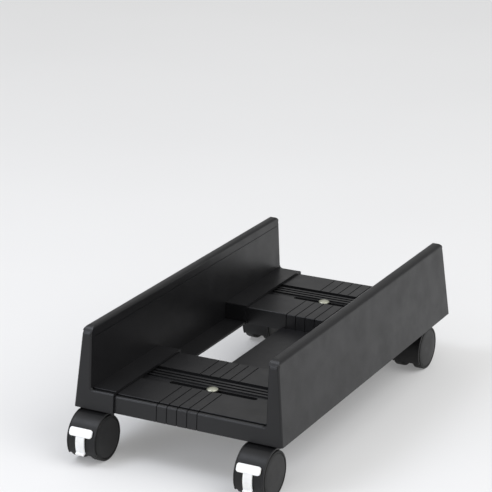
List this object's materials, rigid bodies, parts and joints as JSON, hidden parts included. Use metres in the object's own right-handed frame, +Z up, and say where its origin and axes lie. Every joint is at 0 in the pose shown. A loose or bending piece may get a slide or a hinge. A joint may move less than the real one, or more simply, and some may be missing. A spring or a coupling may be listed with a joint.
{
  "type": "computer case stand",
  "caption": "Width-adjustable rolling stand for an upright computer case: telescoping moulded side halves, clamp bolts, hooded swivel casters and brake pedals at the front.",
  "frame": {"origin": "on the floor under the centre of the stand's outline, pedals included", "axes": "+X to the right half, +Y to the rear, away from the brake pedals, +Z up"},
  "size_m": [0.246, 0.4814, 0.1445],
  "materials": {
    "frame_plastic": "satin, fine moulded texture",
    "arm_steel": "black powder coat",
    "bolt_steel": "zinc plated, bright",
    "fastener_steel": "zinc plated",
    "pin_steel": "turned steel",
    "caster_plastic": "satin black",
    "wheel_plastic": "satin black nylon",
    "cap_plastic": "satin black",
    "pedal_plastic": "smooth white"
  },
  "bodies": {
    "right_half": {"right_side_frame": "frame_plastic", "front_right_socket_sleeve": "pin_steel", "rear_right_socket_sleeve": "pin_steel"},
    "left_half": {"left_side_frame": "frame_plastic", "front_cross_arm": "arm_steel", "rear_cross_arm": "arm_steel", "arm_screws": "fastener_steel", "carriage_bolts": "bolt_steel", "bolt_washers": "fastener_steel", "front_left_socket_sleeve": "pin_steel", "rear_left_socket_sleeve": "pin_steel"},
    "front_nut": {"front_wing_nut": "fastener_steel"},
    "rear_nut": {"rear_wing_nut": "fastener_steel"},
    "front_left_caster": {"front_left_stem": "pin_steel", "front_left_grip_ring": "pin_steel", "front_left_hood": "caster_plastic", "front_left_axle": "pin_steel", "front_left_brake_pin": "pin_steel"},
    "front_left_caster_left_wheel": {"front_left_left_wheel": "wheel_plastic", "front_left_left_wheel_cap": "cap_plastic"},
    "front_left_caster_right_wheel": {"front_left_right_wheel": "wheel_plastic", "front_left_right_wheel_cap": "cap_plastic"},
    "front_left_pedal": {"front_left_brake_pedal": "pedal_plastic"},
    "front_right_caster": {"front_right_stem": "pin_steel", "front_right_grip_ring": "pin_steel", "front_right_hood": "caster_plastic", "front_right_axle": "pin_steel", "front_right_brake_pin": "pin_steel"},
    "front_right_caster_left_wheel": {"front_right_left_wheel": "wheel_plastic", "front_right_left_wheel_cap": "cap_plastic"},
    "front_right_caster_right_wheel": {"front_right_right_wheel": "wheel_plastic", "front_right_right_wheel_cap": "cap_plastic"},
    "front_right_pedal": {"front_right_brake_pedal": "pedal_plastic"},
    "rear_left_caster": {"rear_left_stem": "pin_steel", "rear_left_grip_ring": "pin_steel", "rear_left_hood": "caster_plastic", "rear_left_axle": "pin_steel"},
    "rear_left_caster_left_wheel": {"rear_left_left_wheel": "wheel_plastic", "rear_left_left_wheel_cap": "cap_plastic"},
    "rear_left_caster_right_wheel": {"rear_left_right_wheel": "wheel_plastic", "rear_left_right_wheel_cap": "cap_plastic"},
    "rear_right_caster": {"rear_right_stem": "pin_steel", "rear_right_grip_ring": "pin_steel", "rear_right_hood": "caster_plastic", "rear_right_axle": "pin_steel"},
    "rear_right_caster_left_wheel": {"rear_right_left_wheel": "wheel_plastic", "rear_right_left_wheel_cap": "cap_plastic"},
    "rear_right_caster_right_wheel": {"rear_right_right_wheel": "wheel_plastic", "rear_right_right_wheel_cap": "cap_plastic"}
  },
  "joints": [
    {"name": "width_slide", "type": "slide", "parent": "right_half", "child": "left_half", "axis": [-1, 0, 0], "range_m": [-0.012, 0.02]},
    {"name": "front_nut_turn", "type": "hinge", "parent": "left_half", "child": "front_nut", "pos_m": [0.0065, -0.14082, 0.059], "axis": [0, 0, 1], "range_deg": [0, 720]},
    {"name": "rear_nut_turn", "type": "hinge", "parent": "left_half", "child": "rear_nut", "pos_m": [-0.0055, 0.15918, 0.059], "axis": [0, 0, 1], "range_deg": [0, 720]},
    {"name": "front_left_swivel", "type": "hinge", "parent": "left_half", "child": "front_left_caster", "pos_m": [-0.099, -0.18432, 0.054], "axis": [0, 0, 1], "continuous": true},
    {"name": "front_left_left_wheel_roll", "type": "hinge", "parent": "front_left_caster", "child": "front_left_caster_left_wheel", "pos_m": [-0.099, -0.20932, 0.025], "axis": [1, 0, 0], "continuous": true},
    {"name": "front_left_right_wheel_roll", "type": "hinge", "parent": "front_left_caster", "child": "front_left_caster_right_wheel", "pos_m": [-0.099, -0.20932, 0.025], "axis": [1, 0, 0], "continuous": true},
    {"name": "front_left_brake_lift", "type": "hinge", "parent": "front_left_caster", "child": "front_left_pedal", "pos_m": [-0.099, -0.23004, 0.0377], "axis": [-1, 0, 0], "range_deg": [0, 15]},
    {"name": "front_right_swivel", "type": "hinge", "parent": "right_half", "child": "front_right_caster", "pos_m": [0.099, -0.18432, 0.054], "axis": [0, 0, 1], "continuous": true},
    {"name": "front_right_left_wheel_roll", "type": "hinge", "parent": "front_right_caster", "child": "front_right_caster_left_wheel", "pos_m": [0.099, -0.20932, 0.025], "axis": [1, 0, 0], "continuous": true},
    {"name": "front_right_right_wheel_roll", "type": "hinge", "parent": "front_right_caster", "child": "front_right_caster_right_wheel", "pos_m": [0.099, -0.20932, 0.025], "axis": [1, 0, 0], "continuous": true},
    {"name": "front_right_brake_lift", "type": "hinge", "parent": "front_right_caster", "child": "front_right_pedal", "pos_m": [0.099, -0.23004, 0.0377], "axis": [-1, 0, 0], "range_deg": [0, 15]},
    {"name": "rear_left_swivel", "type": "hinge", "parent": "left_half", "child": "rear_left_caster", "pos_m": [-0.099, 0.21468, 0.054], "axis": [0, 0, 1], "continuous": true},
    {"name": "rear_left_left_wheel_roll", "type": "hinge", "parent": "rear_left_caster", "child": "rear_left_caster_left_wheel", "pos_m": [-0.099, 0.18968, 0.025], "axis": [1, 0, 0], "continuous": true},
    {"name": "rear_left_right_wheel_roll", "type": "hinge", "parent": "rear_left_caster", "child": "rear_left_caster_right_wheel", "pos_m": [-0.099, 0.18968, 0.025], "axis": [1, 0, 0], "continuous": true},
    {"name": "rear_right_swivel", "type": "hinge", "parent": "right_half", "child": "rear_right_caster", "pos_m": [0.099, 0.21468, 0.054], "axis": [0, 0, 1], "continuous": true},
    {"name": "rear_right_left_wheel_roll", "type": "hinge", "parent": "rear_right_caster", "child": "rear_right_caster_left_wheel", "pos_m": [0.099, 0.18968, 0.025], "axis": [1, 0, 0], "continuous": true},
    {"name": "rear_right_right_wheel_roll", "type": "hinge", "parent": "rear_right_caster", "child": "rear_right_caster_right_wheel", "pos_m": [0.099, 0.18968, 0.025], "axis": [1, 0, 0], "continuous": true}
  ]
}
